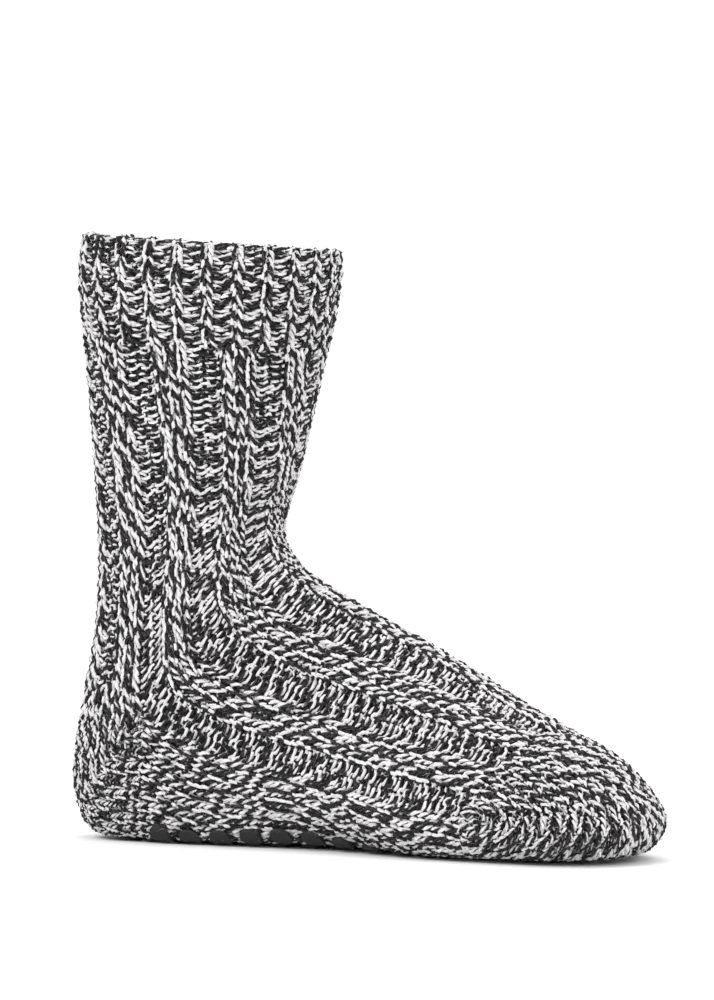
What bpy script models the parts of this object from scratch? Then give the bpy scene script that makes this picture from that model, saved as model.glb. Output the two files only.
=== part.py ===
"""A crew-height knitted slipper sock with rubber grip dots under its sole.

It stands empty on its sole, toe toward +X, with the inner side of a left foot toward -Y. The knitted body is one
hollow wall. Its mesh follows the knitting: one column of points for each wale, with short-row fans for the heel
pocket and the toe pocket, hinged on the two gusset points at each side. The tables count x from the heel's back and
z from the floor; the whole sock hangs on an empty that sets its middle over the origin.
"""

import math

import bpy
import numpy as np
from mathutils import Vector
from mathutils.bvhtree import BVHTree

# Main sizes, in metres
FOOT_LENGTH = 0.266
SOCK_HEIGHT = 0.248
COLLAR_DEPTH = 0.107
COLLAR_WIDTH = 0.101
COLLAR_FORWARD = 0.010
COLLAR_DROP = 0.008
ANKLE_HEIGHT = 0.108
ANKLE_DEPTH = 0.078
ANKLE_WIDTH = 0.066
HEEL_WIDTH = 0.067
HEEL_HINGE_HEIGHT = 0.050
BALL_WIDTH = 0.093
INSTEP_HEIGHT = 0.111
TOE_HEIGHT = 0.050
TOE_LENGTH = 0.065
ARCH_RISE = 0.006
BIG_TOE_SHIFT = 0.009

# Inner arch: where it starts and how far it runs as shares of foot length, how far out it begins, and how far it fades
ARCH_START = 0.22
ARCH_SPAN = 0.48
ARCH_EDGE = 0.010
ARCH_FADE_WIDTH = 0.042
ARCH_FADE_HEIGHT = 0.030

# How square the leg's sections are at the front and at the back, and at the heel's hinge at the back
LEG_FRONT_BULGE = 2.05
LEG_BACK_BULGE = 2.10
HINGE_BACK_BULGE = 2.20

# Knit
WALL = 0.003
CUFF_HEIGHT = 0.042
RIB_STEP = 0.0014
CUFF_RIB_STEP = 0.0010
WALES = 50
RIB_WALES = 5
KNIT_WALES_OF_RIB = 3
KNIT_WIDTH = 0.883
PURL_WIDTH = 1.175
HINGE = 13.5
TWIST_WALES = 2.0
PLAIN_ABOVE_HEEL = 0.012

# Grip dots
DOT_DIAMETER = 0.0102
DOT_THICKNESS = 0.0012
DOT_GAP = 0.0003
DOT_SPACING = 0.0038
DOT_COLUMN_SPACING = 0.0027
DOT_TOE_SHARE = 0.715
DOT_HEEL_MARGIN = 0.023
DOT_SIDES = 10
DOT_TAPER = 0.93
# Column name, number of columns toward the inner side, and first dot's distance from the heel margin in pitches
DOT_COLUMNS = (
    # name, place, start
    ("inner_edge", 2, 2.0),
    ("inner", 1, 0.5),
    ("middle", 0, 0.0),
    ("outer", -1, 0.5),
    ("outer_edge", -2, 2.0),
)

DOT_PITCH = DOT_DIAMETER + DOT_SPACING
DOT_COLUMN = DOT_DIAMETER + DOT_COLUMN_SPACING
SOLE_PLANE = DOT_THICKNESS + DOT_GAP
SOLE_PRESS = 0.006
SOLE_BLEND = 0.0025
SOLE_LOW = SOLE_PLANE - SOLE_PRESS

ANKLE_BACK = 0.013
ANKLE_TILT = 0.024
SIDE_SHARE = 0.46
HEEL_HINGE_X = 0.045
TOE_HINGE_X = FOOT_LENGTH - TOE_LENGTH
TOE_HINGE_HEIGHT = 0.018

# Leg sections from the collar down to the ankle: share of the way up from the ankle, share of the way from the
# ankle's size to the collar's, share of the collar's drop from back to front, and share of the ankle's tilt that lifts
# the section's front
LEG_SECTIONS = (
    # up, swell, drop, tilt
    (1.000, 0.955, 1.00, 0.00),
    (0.970, 0.985, 1.00, 0.00),
    (0.900, 1.000, 0.97, 0.00),
    (0.800, 0.900, 0.88, 0.00),
    (0.700, 0.750, 0.74, 0.00),
    (0.560, 0.560, 0.50, 0.00),
    (0.420, 0.390, 0.25, 0.05),
    (0.280, 0.235, 0.07, 0.22),
    (0.130, 0.080, 0.00, 0.60),
    (0.000, 0.000, 0.00, 1.00),
)

# Gusset sections from the ankle down to the heel's hinge: share of the way down, share of the ankle's set-back,
# share of the way from the ankle's width to the heel's, and the instep point as shares of foot length and instep height
GUSSET_SECTIONS = (
    # down, back, spread, front_x, front_z, bulge
    (0.33, 0.900, 0.12, 0.348, 1.126, 1.92),
    (0.67, 0.600, 0.50, 0.367, 1.059, 1.84),
    (1.00, 0.230, 1.00, 0.393, 1.000, 1.78),
)

# Foot sections from the gusset to the toe: side point as shares of foot length and of the heel hinge's height, inner
# and outer half widths as shares of the way from the heel's to the ball's, top point as shares of foot length and of
# instep height, place of the sole point, and how square the top and the sole are
FOOT_SECTIONS = (
    # side_x, side_z, inner, outer, top_x, top_z, sole_x, top_bulge, sole_bulge
    (0.170, 1.000, 0.00, 0.00, 0.393, 1.000, 0.200, 1.78, 2.90),
    (0.320, 0.720, -0.05, 0.17, 0.489, 0.874, 0.325, 1.74, 2.80),
    (0.475, 0.530, 0.02, 0.58, 0.602, 0.739, 0.475, 1.80, 2.70),
    (0.620, 0.420, 0.68, 1.12, 0.714, 0.595, 0.615, 1.95, 2.70),
    (0.7556, 0.360, 0.90, 0.86, 0.830, 0.450, 0.745, 2.10, 2.70),
)

# Heel pocket, from the back of the gusset round to the sole, as shares of the hinge's distance and height
HEEL_PROFILE = (
    # back_x, back_z, bulge
    (0.020, 0.730, 2.24),
    (0.000, 0.500, 2.30),
    (0.045, 0.270, 2.38),
    (0.170, 0.070, 2.50),
    (0.400, -0.050, 2.65),
    (0.720, -0.085, 2.80),
)

# Toe pocket, from the top of the toe ring round the tip to the sole, as shares of the toe's length and height
TOE_PROFILE = (
    # ahead, up, bulge, shift
    (0.540, 0.905, 2.12, 0.60),
    (0.730, 0.765, 2.16, 0.85),
    (0.870, 0.600, 2.20, 0.97),
    (0.960, 0.450, 2.24, 1.00),
    (1.000, 0.320, 2.28, 1.00),
    (0.975, 0.190, 2.32, 0.97),
    (0.890, 0.085, 2.38, 0.88),
    (0.740, 0.000, 2.46, 0.70),
    (0.520, -0.055, 2.54, 0.45),
    (0.260, -0.085, 2.62, 0.20),
)

# Steps between two rows of the tables
LEG_STEPS = (1, 1, 1, 1, 2, 1, 2, 1, 2, 1, 2, 2)
FOOT_STEPS = 3
LOOP_DETAIL = 96

SIDE_X, SIDE_Z, INNER, OUTER, FRONT_X, FRONT_Z, BACK_X, BACK_Z, FRONT_BULGE, BACK_BULGE, SHIFT = range(11)


def between(low, high, share):
    return low + (high - low) * share


def smooth_step(value):
    value = np.clip(value, 0.0, 1.0)
    return value * value * (3 - 2 * value)


def spline(rows, places):
    """The rows of a table read at fractional row numbers, on a smooth curve through them."""
    rows = np.asarray(rows, float)
    slopes = np.gradient(rows, axis=0)
    low = np.clip(np.floor(places).astype(int), 0, len(rows) - 2)
    t = (np.asarray(places) - low)[:, None]
    a, b = rows[low], rows[low + 1]
    return (
        a * (1 + 2 * t) * (1 - t) ** 2
        + b * t * t * (3 - 2 * t)
        + slopes[low] * t * (1 - t) ** 2
        + slopes[low + 1] * t * t * (t - 1)
    )


def shaft_sections():
    """Full sections from the collar down to the heel's hinges."""
    rows = []
    for up, swell, drop, tilt in LEG_SECTIONS:
        depth = between(ANKLE_DEPTH, COLLAR_DEPTH, swell)
        half = between(ANKLE_WIDTH, COLLAR_WIDTH, swell) / 2
        z = between(ANKLE_HEIGHT, SOCK_HEIGHT, up)
        back = ANKLE_BACK + ANKLE_DEPTH / 2 + COLLAR_FORWARD * up - depth / 2
        side = (back + SIDE_SHARE * depth, z - COLLAR_DROP * drop * SIDE_SHARE, half, half)
        front = (back + depth, z - COLLAR_DROP * drop + ANKLE_TILT * tilt)
        rows.append((*side, *front, back, z, LEG_FRONT_BULGE, LEG_BACK_BULGE, 0.0))
    ankle = rows[-1]
    for down, back, spread, front_x, front_z, bulge in GUSSET_SECTIONS:
        half = between(ANKLE_WIDTH, HEEL_WIDTH, spread) / 2
        z = between(ANKLE_HEIGHT, HEEL_HINGE_HEIGHT, down)
        side = (between(ankle[SIDE_X], HEEL_HINGE_X, down), z, half, half)
        front = (front_x * FOOT_LENGTH, front_z * INSTEP_HEIGHT)
        back_bulge = between(LEG_BACK_BULGE, HINGE_BACK_BULGE, down)
        rows.append((*side, *front, back * ANKLE_BACK, z, bulge, back_bulge, 0.0))
    return np.array(rows)


def foot_sections():
    """Full sections from the heel's hinges to the toe ring; the back point lies on the sole."""
    rows = []
    for side_x, side_z, inner, outer, top_x, top_z, sole_x, top_bulge, sole_bulge in FOOT_SECTIONS:
        rows.append(
            (
                side_x * FOOT_LENGTH,
                side_z * HEEL_HINGE_HEIGHT,
                between(HEEL_WIDTH, BALL_WIDTH, inner) / 2,
                between(HEEL_WIDTH, BALL_WIDTH, outer) / 2,
                top_x * FOOT_LENGTH,
                top_z * INSTEP_HEIGHT,
                sole_x * FOOT_LENGTH,
                SOLE_LOW,
                top_bulge,
                sole_bulge,
                0.0,
            )
        )
    rows[0] = (HEEL_HINGE_X, HEEL_HINGE_HEIGHT) + rows[0][2:]
    rows[-1] = (TOE_HINGE_X, TOE_HINGE_HEIGHT) + rows[-1][2:5] + (TOE_HEIGHT,) + rows[-1][6:]
    return np.array(rows)


def half_loop(side, inner, outer, apex, bulge, shift):
    """A half section from the inner side point over an apex to the outer one, as closely spaced points."""
    turn = np.linspace(0, math.pi, LOOP_DETAIL + 1)
    across = np.sign(np.cos(turn)) * np.abs(np.cos(turn)) ** (2 / bulge)
    rise = np.abs(np.sin(turn)) ** (2 / bulge)
    y = (outer - inner) / 2 + shift * rise - (outer + inner) / 2 * across
    return np.stack([side[0] + (apex[0] - side[0]) * rise, y, side[1] + (apex[1] - side[1]) * rise], axis=1)


def stretched(wale):
    """Place of a wale on a ribbed section: the purl wales of each rib are stretched, the knit ones drawn in."""
    rib = np.round(wale / RIB_WALES) * RIB_WALES
    off = wale - rib
    near = np.abs(off)
    edge = KNIT_WALES_OF_RIB / 2
    return rib + np.sign(off) * np.where(near <= edge, KNIT_WIDTH * near, KNIT_WIDTH * edge + PURL_WIDTH * (near - edge))


HINGE_PLACE = float(stretched(np.array([HINGE]))[0])


def wale_places(wales, ribbed_back):
    """Places round a section, 0 at the front and WALES / 2 at the back, with the plain back spread evenly."""
    ribbed = stretched(wales)
    share = (wales - HINGE) / (WALES - 2 * HINGE)
    plain = HINGE_PLACE + share * (WALES - 2 * HINGE_PLACE)
    at_back = (wales > HINGE) & (wales < WALES - HINGE)
    return np.where(at_back, between(plain, ribbed, ribbed_back), ribbed)


def along(points, shares):
    """Points at shares of a polyline's length."""
    steps = np.linalg.norm(np.diff(points, axis=0), axis=1)
    length = np.concatenate([[0.0], np.cumsum(steps)])
    return np.stack([np.interp(shares * length[-1], length, points[:, axis]) for axis in range(3)], axis=1)


def section_points(row, places):
    """Points of a full section at places round it, counted from its front toward the inner side."""
    side = row[[SIDE_X, SIDE_Z]]
    front = half_loop(side, row[INNER], row[OUTER], row[[FRONT_X, FRONT_Z]], row[FRONT_BULGE], row[SHIFT])
    back = half_loop(side, row[INNER], row[OUTER], row[[BACK_X, BACK_Z]], row[BACK_BULGE], 0.0)
    places = np.mod(places, WALES)
    turned = np.where(places > WALES / 2, places - WALES, places)
    at_front = np.abs(turned) <= HINGE_PLACE
    front_points = along(front, (HINGE_PLACE - turned) / (2 * HINGE_PLACE))
    back_points = along(back, (places - HINGE_PLACE) / (WALES - 2 * HINGE_PLACE))
    return np.where(at_front[:, None], front_points, back_points)


def stand(points):
    """Lifts the inner arch, then rests what lies below the sole's plane on it."""
    x, y, z = points.T
    rise = np.sin(math.pi * np.clip((x / FOOT_LENGTH - ARCH_START) / ARCH_SPAN, 0, 1)) ** 2
    inner = smooth_step((ARCH_EDGE - y) / ARCH_FADE_WIDTH)
    z = z + ARCH_RISE * rise * inner * np.exp(-((np.maximum(z, 0) / ARCH_FADE_HEIGHT) ** 2))
    off = z - SOLE_PLANE
    eased = SOLE_PLANE + (off + SOLE_BLEND) ** 2 / (4 * SOLE_BLEND)
    z = np.where(off > SOLE_BLEND, z, np.where(off < -SOLE_BLEND, SOLE_PLANE, eased))
    return np.stack([x, y, z], axis=1)


def subdivided(rows, steps):
    """Fractional row numbers with so many steps between neighbouring rows."""
    places = [np.arange(count) / count + row for row, count in enumerate(steps)]
    return np.concatenate(places + [np.array([len(rows) - 1.0])])


def fan_points(side, inner, outer, profile, columns):
    """Half sections hinged on the two side points, one for each row of apex x, apex z, bulge and shift."""
    loops = [half_loop(side, inner, outer, row[:2], row[2], row[3]) for row in profile]
    return [stand(along(loop, columns)) for loop in loops]


def rib_relief(wales, ribbed):
    """Height of the ribbed wall over its middle surface, on which a plain wall lies."""
    off = np.abs(wales - np.round(wales / RIB_WALES) * RIB_WALES)
    rib = np.where(off < KNIT_WALES_OF_RIB / 2, 0.5, -0.5) * RIB_STEP
    return np.where(ribbed, rib, 0.0)


def cuff_relief(wales):
    return np.where(np.round(wales).astype(int) % 2 == 1, 0.5, -0.5) * CUFF_RIB_STEP


def heel_rows():
    hinge_x, hinge_z = HEEL_HINGE_X, HEEL_HINGE_HEIGHT
    shaft, foot = shaft_sections()[-1], foot_sections()[0]
    rows = [(shaft[BACK_X], shaft[BACK_Z], shaft[BACK_BULGE], 0.0)]
    rows += [(x * hinge_x, z * hinge_z, bulge, 0.0) for x, z, bulge in HEEL_PROFILE]
    rows.append((foot[BACK_X], foot[BACK_Z], foot[BACK_BULGE], 0.0))
    return np.array(rows)


def toe_rows():
    ring = foot_sections()[-1]
    rows = [(ring[FRONT_X], ring[FRONT_Z], ring[FRONT_BULGE], ring[SHIFT])]
    for ahead, up, bulge, shift in TOE_PROFILE:
        rows.append((TOE_HINGE_X + ahead * TOE_LENGTH, up * TOE_HEIGHT, bulge, -shift * BIG_TOE_SHIFT))
    rows.append((ring[BACK_X], ring[BACK_Z], ring[BACK_BULGE], 0.0))
    return np.array(rows)


class Wall:
    """The middle surface's points, with the relief of each, and its faces."""

    def __init__(self):
        self.points, self.relief, self.faces = [], [], []

    def add(self, points, relief):
        first = len(self.points)
        self.points += [Vector(point) for point in points]
        self.relief += list(relief)
        return list(range(first, first + len(points)))

    def strip(self, upper, lower, closed=False):
        """Triangles between two rows of as many points, upper row first, cut across the shorter diagonal."""
        count = len(upper)
        for i in range(count if closed else count - 1):
            j = (i + 1) % count
            a, b, c, d = upper[i], upper[j], lower[j], lower[i]
            down = (self.points[a] - self.points[c]).length
            up = (self.points[b] - self.points[d]).length
            halves = ((a, b, c), (a, c, d)) if down < up else ((a, b, d), (b, c, d))
            self.faces += [list(half) for half in halves if len(set(half)) == 3]

    def zip_rows(self, upper, lower):
        """Triangles between two rows of different counts that share their end points."""
        i = j = 0
        while i < len(upper) - 1 or j < len(lower) - 1:
            if (i + 1) / (len(upper) - 1) <= (j + 1) / (len(lower) - 1):
                corners = [upper[i], upper[i + 1], lower[j]]
                i += 1
            else:
                corners = [upper[i], lower[j + 1], lower[j]]
                j += 1
            if len(set(corners)) == 3:
                self.faces.append(corners)


FRONT_WALES = np.arange(-13.0, 14.0)
BACK_WALES = np.arange(14.0, 37.0)
ROUND_WALES = np.concatenate([np.arange(0.0, 14.0), [HINGE], BACK_WALES, [WALES - HINGE], np.arange(37.0, 50.0)])


def knit_wall():
    """The whole sock's middle surface, from the collar down the leg, round the heel and along the foot to the toe."""
    wall = Wall()
    columns = np.sort(ROUND_WALES)
    inner_hinge = int(np.searchsorted(columns, HINGE))
    outer_hinge = int(np.searchsorted(columns, WALES - HINGE))
    at_front = (columns < HINGE) | (columns > WALES - HINGE)

    shaft = shaft_sections()
    places = subdivided(shaft, LEG_STEPS)
    cuff_foot = SOCK_HEIGHT - CUFF_HEIGHT
    rows = []
    for place, row in zip(places, spline(shaft, places)):
        above = row[BACK_Z] > cuff_foot
        plain_back = row[BACK_Z] < HEEL_HINGE_HEIGHT + PLAIN_ABOVE_HEEL
        twist = TWIST_WALES * smooth_step((row[BACK_Z] - ANKLE_HEIGHT) / (SOCK_HEIGHT - ANKLE_HEIGHT))
        ribbed_back = 0.0 if plain_back else 1.0
        points = section_points(row, wale_places(columns, ribbed_back) + twist)
        relief = cuff_relief(columns) if above else rib_relief(columns, at_front | (not plain_back))
        rows.append(wall.add(points, relief))
    for upper, lower in zip(rows, rows[1:]):
        wall.strip(upper, lower, closed=True)
    collar, gusset = rows[0], rows[-1]

    back = slice(inner_hinge, outer_hinge + 1)
    heel_columns = (columns[back] - HINGE) / (WALES - 2 * HINGE)
    heel = heel_rows()
    profile = spline(heel, subdivided(heel, (1,) * (len(heel) - 1)))
    last = gusset[back]
    for points in fan_points((HEEL_HINGE_X, HEEL_HINGE_HEIGHT), HEEL_WIDTH / 2, HEEL_WIDTH / 2, profile, heel_columns)[1:]:
        inside = wall.add(points[1:-1], [0.0] * (len(points) - 2))
        row = [gusset[inner_hinge]] + inside + [gusset[outer_hinge]]
        wall.strip(last, row)
        last = row

    foot = foot_sections()
    places = subdivided(foot, (FOOT_STEPS,) * (len(foot) - 1))
    ring = gusset[: inner_hinge + 1] + last[1:-1] + gusset[outer_hinge:]
    for row in spline(foot, places)[1:]:
        points = stand(section_points(row, wale_places(columns, 0.0)))
        below = wall.add(points, rib_relief(columns, at_front))
        wall.strip(ring, below, closed=True)
        ring = below

    toe = toe_rows()
    profile = spline(toe, subdivided(toe, (1,) * (len(toe) - 1)))
    side = (TOE_HINGE_X, TOE_HINGE_HEIGHT)
    end = foot[-1]
    top = ring[outer_hinge:] + ring[: inner_hinge + 1]
    toe_places = np.concatenate([[-HINGE_PLACE], stretched(FRONT_WALES), [HINGE_PLACE]])
    toe_columns = (HINGE_PLACE - toe_places) / (2 * HINGE_PLACE)
    last = top
    for points in fan_points(side, end[INNER], end[OUTER], profile, toe_columns)[1:-1]:
        inside = wall.add(points[1:-1], [0.0] * (len(points) - 2))
        row = [top[0]] + inside + [top[-1]]
        wall.strip(last, row)
        last = row
    wall.zip_rows(last, ring[outer_hinge : inner_hinge - 1 : -1])
    return wall, collar


def knit_mesh():
    """The closed solid: the ribbed outer face, the smooth inner face one wall further in, and the collar's rim."""
    wall, collar = knit_wall()
    middle = bpy.data.meshes.new("middle")
    middle.from_pydata(wall.points, [], wall.faces)
    normals = [vertex.normal.copy() for vertex in middle.vertices]
    bpy.data.meshes.remove(middle)
    count = len(wall.points)
    outside = [point + normal * height for point, normal, height in zip(wall.points, normals, wall.relief)]
    inside = [point - normal * (WALL - RIB_STEP / 2) for point, normal in zip(wall.points, normals)]
    faces = list(wall.faces)
    faces += [[count + i for i in reversed(face)] for face in wall.faces]
    for i, j in zip(collar, collar[1:] + collar[:1]):
        faces.append([j, i, count + i, count + j])
    mesh = bpy.data.meshes.new("knit")
    mesh.from_pydata(outside + inside, [], faces)
    mesh.validate()
    mesh.shade_smooth()
    mesh.set_sharp_from_angle(angle=math.radians(60))
    return mesh


def outer_tree(mesh):
    """The knitted body's outer face, to seat the dots on."""
    count = len(mesh.vertices) // 2
    points = [vertex.co.copy() for vertex in mesh.vertices[:count]]
    faces = [list(face.vertices) for face in mesh.polygons if max(face.vertices) < count]
    return BVHTree.FromPolygons(points, faces)


def dot_centres():
    """Name and rough place of each dot: five columns, every second one set on by half a pitch."""
    foot = foot_sections()
    places = np.linspace(0, len(foot) - 1, 120)
    rows = spline(foot, places)
    end = DOT_TOE_SHARE * FOOT_LENGTH
    for name, column, pitches in DOT_COLUMNS:
        start = DOT_HEEL_MARGIN + pitches * DOT_PITCH
        count = int((end - start) / DOT_PITCH + 1e-6) + 1
        for number in range(count):
            x = start + number * DOT_PITCH
            row = rows[int(np.argmin(np.abs(rows[:, BACK_X] - max(x, rows[0, BACK_X]))))]
            loop = half_loop(row[[SIDE_X, SIDE_Z]], row[INNER], row[OUTER], row[[BACK_X, BACK_Z]], row[BACK_BULGE], 0)
            length = np.linalg.norm(np.diff(loop, axis=0), axis=1).sum()
            point = along(loop, np.array([0.5 - column * DOT_COLUMN / length]))[0]
            point[0] = x
            yield f"grip_{name}_{number + 1}", Vector(stand(point[None])[0])


def dot_shape(tree, centre, normal, gap):
    """Points and faces of a rubber disc one gap below the knit, a little narrower underneath."""
    ahead = (Vector((1, 0, 0)) - normal * normal.x).normalized()
    aside = normal.cross(ahead)
    points = [centre + normal * gap]
    rings = ((0.5, gap), (1.0, gap), (DOT_TAPER, SOLE_PLANE))
    for share, depth in rings:
        for side in range(DOT_SIDES):
            turn = 2 * math.pi * side / DOT_SIDES
            spoke = ahead * math.cos(turn) + aside * math.sin(turn)
            start = centre + spoke * (share * DOT_DIAMETER / 2) + normal * DOT_DIAMETER
            seat, _, _, _ = tree.ray_cast(start, -normal)
            points.append(seat + normal * depth)
    middle, _, _, _ = tree.ray_cast(centre + normal * DOT_DIAMETER, -normal)
    points.append(middle + normal * SOLE_PLANE)
    under = len(points) - 1
    ring_points = [list(range(1 + DOT_SIDES * ring, 1 + DOT_SIDES * (ring + 1))) for ring in range(len(rings))]
    faces = []
    for i in range(DOT_SIDES):
        j = (i + 1) % DOT_SIDES
        faces.append([ring_points[0][j], ring_points[0][i], 0])
        faces.append([ring_points[-1][i], ring_points[-1][j], under])
        for above, below in zip(ring_points, ring_points[1:]):
            faces.append([above[i], above[j], below[j]])
            faces.append([above[i], below[j], below[i]])
    return points, faces


def dot_mesh(name, tree, rough):
    """A dot seated on the knit, with its gap opened a little where a fold of the wall stands proud between its points."""
    centre, normal, _, _ = tree.find_nearest(rough)
    gap = DOT_GAP
    points, faces = dot_shape(tree, centre, normal, gap)
    while tree.overlap(BVHTree.FromPolygons(points, faces, epsilon=DOT_GAP / 3)):
        gap += DOT_GAP / 6
        points, faces = dot_shape(tree, centre, normal, gap)
    mesh = bpy.data.meshes.new(name)
    mesh.from_pydata(points, [], faces)
    mesh.shade_smooth()
    mesh.set_sharp_from_angle(angle=math.radians(40))
    return mesh


WOOL = ("marl_wool", (0.30, 0.29, 0.28), 0.95)
RUBBER = ("grip_rubber", (0.03, 0.03, 0.032), 0.75)


def material(name, colour, roughness):
    made = bpy.data.materials.new(name)
    made.use_nodes = True
    shader = made.node_tree.nodes["Principled BSDF"]
    shader.inputs["Base Color"].default_value = (*colour, 1)
    shader.inputs["Roughness"].default_value = roughness
    shader.inputs["Metallic"].default_value = 0.0
    return made


def add_object(name, mesh, look, parent):
    mesh.materials.append(look)
    made = bpy.data.objects.new(name, mesh)
    made.parent = parent
    bpy.context.scene.collection.objects.link(made)


def main():
    for old in list(bpy.data.objects):
        bpy.data.objects.remove(old)
    wool, rubber = material(*WOOL), material(*RUBBER)
    sock = bpy.data.objects.new("sock", None)
    sock.location.x = -FOOT_LENGTH / 2
    bpy.context.scene.collection.objects.link(sock)
    body = knit_mesh()
    add_object("knit", body, wool, sock)
    tree = outer_tree(body)
    for name, rough in dot_centres():
        add_object(name, dot_mesh(name, tree, rough), rubber, sock)


main()
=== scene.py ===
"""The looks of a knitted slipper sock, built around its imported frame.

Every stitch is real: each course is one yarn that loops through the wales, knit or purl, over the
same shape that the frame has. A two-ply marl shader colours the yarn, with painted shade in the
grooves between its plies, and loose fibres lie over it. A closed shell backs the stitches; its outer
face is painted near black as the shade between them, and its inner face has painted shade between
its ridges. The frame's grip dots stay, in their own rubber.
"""

import math

import bpy
import numpy as np
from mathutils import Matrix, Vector
from mathutils.bvhtree import BVHTree


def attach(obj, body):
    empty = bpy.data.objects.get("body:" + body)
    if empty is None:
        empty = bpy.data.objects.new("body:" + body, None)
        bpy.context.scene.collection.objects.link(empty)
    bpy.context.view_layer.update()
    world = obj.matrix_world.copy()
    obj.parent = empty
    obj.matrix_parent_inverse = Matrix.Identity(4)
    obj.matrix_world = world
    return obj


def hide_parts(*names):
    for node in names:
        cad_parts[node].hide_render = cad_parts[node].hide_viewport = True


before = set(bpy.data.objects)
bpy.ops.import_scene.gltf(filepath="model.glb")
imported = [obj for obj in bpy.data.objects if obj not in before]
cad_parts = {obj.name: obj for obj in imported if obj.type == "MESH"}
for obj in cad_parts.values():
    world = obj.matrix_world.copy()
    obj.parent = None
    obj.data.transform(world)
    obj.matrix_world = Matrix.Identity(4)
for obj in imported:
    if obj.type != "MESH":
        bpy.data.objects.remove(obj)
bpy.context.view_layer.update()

# Main sizes of the form, the same as the frame's: lengths in metres, bulges as powers of a rounded
# outline, and the rest as shares or in wales
FOOT_LENGTH = 0.266
SOCK_HEIGHT = 0.248
COLLAR_DEPTH = 0.107
COLLAR_WIDTH = 0.101
COLLAR_FORWARD = 0.010
COLLAR_DROP = 0.008
ANKLE_HEIGHT = 0.108
ANKLE_DEPTH = 0.078
ANKLE_WIDTH = 0.066
HEEL_WIDTH = 0.067
HEEL_HINGE_HEIGHT = 0.050
BALL_WIDTH = 0.093
INSTEP_HEIGHT = 0.111
TOE_HEIGHT = 0.050
TOE_LENGTH = 0.065
ARCH_RISE = 0.006
BIG_TOE_SHIFT = 0.009
ARCH_START = 0.22
ARCH_SPAN = 0.48
ARCH_EDGE = 0.010
ARCH_FADE_WIDTH = 0.042
ARCH_FADE_HEIGHT = 0.030
LEG_FRONT_BULGE = 2.05
LEG_BACK_BULGE = 2.10
HINGE_BACK_BULGE = 2.20
CUFF_HEIGHT = 0.042
WALES = 50
RIB_WALES = 5
KNIT_WALES_OF_RIB = 3
KNIT_WIDTH = 0.883
PURL_WIDTH = 1.175
HINGE = 13.5
TWIST_WALES = 2.0
PLAIN_ABOVE_HEEL = 0.012
SOLE_PLANE = 0.0015
SOLE_PRESS = 0.006
SOLE_BLEND = 0.0025
SOLE_LOW = SOLE_PLANE - SOLE_PRESS
ANKLE_BACK = 0.013
ANKLE_TILT = 0.024
SIDE_SHARE = 0.46
HEEL_HINGE_X = 0.045
TOE_HINGE_X = FOOT_LENGTH - TOE_LENGTH
TOE_HINGE_HEIGHT = 0.018

LEG_SECTIONS = (
    # up, swell, drop, tilt
    (1.000, 0.955, 1.00, 0.00),
    (0.970, 0.985, 1.00, 0.00),
    (0.900, 1.000, 0.97, 0.00),
    (0.800, 0.900, 0.88, 0.00),
    (0.700, 0.750, 0.74, 0.00),
    (0.560, 0.560, 0.50, 0.00),
    (0.420, 0.390, 0.25, 0.05),
    (0.280, 0.235, 0.07, 0.22),
    (0.130, 0.080, 0.00, 0.60),
    (0.000, 0.000, 0.00, 1.00),
)
GUSSET_SECTIONS = (
    # down, back, spread, front_x, front_z, bulge
    (0.33, 0.900, 0.12, 0.348, 1.126, 1.92),
    (0.67, 0.600, 0.50, 0.367, 1.059, 1.84),
    (1.00, 0.230, 1.00, 0.393, 1.000, 1.78),
)
FOOT_SECTIONS = (
    # side_x, side_z, inner, outer, top_x, top_z, sole_x, top_bulge, sole_bulge
    (0.170, 1.000, 0.00, 0.00, 0.393, 1.000, 0.200, 1.78, 2.90),
    (0.320, 0.720, -0.05, 0.17, 0.489, 0.874, 0.325, 1.74, 2.80),
    (0.475, 0.530, 0.02, 0.58, 0.602, 0.739, 0.475, 1.80, 2.70),
    (0.620, 0.420, 0.68, 1.12, 0.714, 0.595, 0.615, 1.95, 2.70),
    (0.7556, 0.360, 0.90, 0.86, 0.830, 0.450, 0.745, 2.10, 2.70),
)
HEEL_PROFILE = (
    # back_x, back_z, bulge
    (0.020, 0.730, 2.24),
    (0.000, 0.500, 2.30),
    (0.045, 0.270, 2.38),
    (0.170, 0.070, 2.50),
    (0.400, -0.050, 2.65),
    (0.720, -0.085, 2.80),
)
TOE_PROFILE = (
    # ahead, up, bulge, shift
    (0.540, 0.905, 2.12, 0.60),
    (0.730, 0.765, 2.16, 0.85),
    (0.870, 0.600, 2.20, 0.97),
    (0.960, 0.450, 2.24, 1.00),
    (1.000, 0.320, 2.28, 1.00),
    (0.975, 0.190, 2.32, 0.97),
    (0.890, 0.085, 2.38, 0.88),
    (0.740, 0.000, 2.46, 0.70),
    (0.520, -0.055, 2.54, 0.45),
    (0.260, -0.085, 2.62, 0.20),
)
LOOP_DETAIL = 96

# Columns of a full section's row
SIDE_X, SIDE_Z, INNER, OUTER, FRONT_X, FRONT_Z, BACK_X, BACK_Z = range(8)
FRONT_BULGE, BACK_BULGE, SHIFT = range(8, 11)

MM = 0.001
# Height of a course on the body and in the cuff, in millimetres
COURSE = 3.1
CUFF_COURSE = 2.75
# Steps of a surface's grid for each course and wale, its wales, and the wale at the back's middle
GRID = 4
GRID_WALES = np.arange(0, WALES, 1 / GRID)
BACK_WALE = WALES // 2
# Where courses are measured: places round a section, and steps along the sections
MEASURED_PLACES = np.array([0.0, 12.0, 15.0, 25.0])
FINE_STEPS = 400
# Heights over which ribs begin above the heel, and the cuff's turn into the leg's
RIB_FADE = 0.010
CUFF_FADE = 0.006
# Widths of a purl and a knit wale of the cuff, as shares of an even one
CUFF_PURL_WIDTH = 1.17
CUFF_KNIT_WIDTH = 0.83
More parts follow.
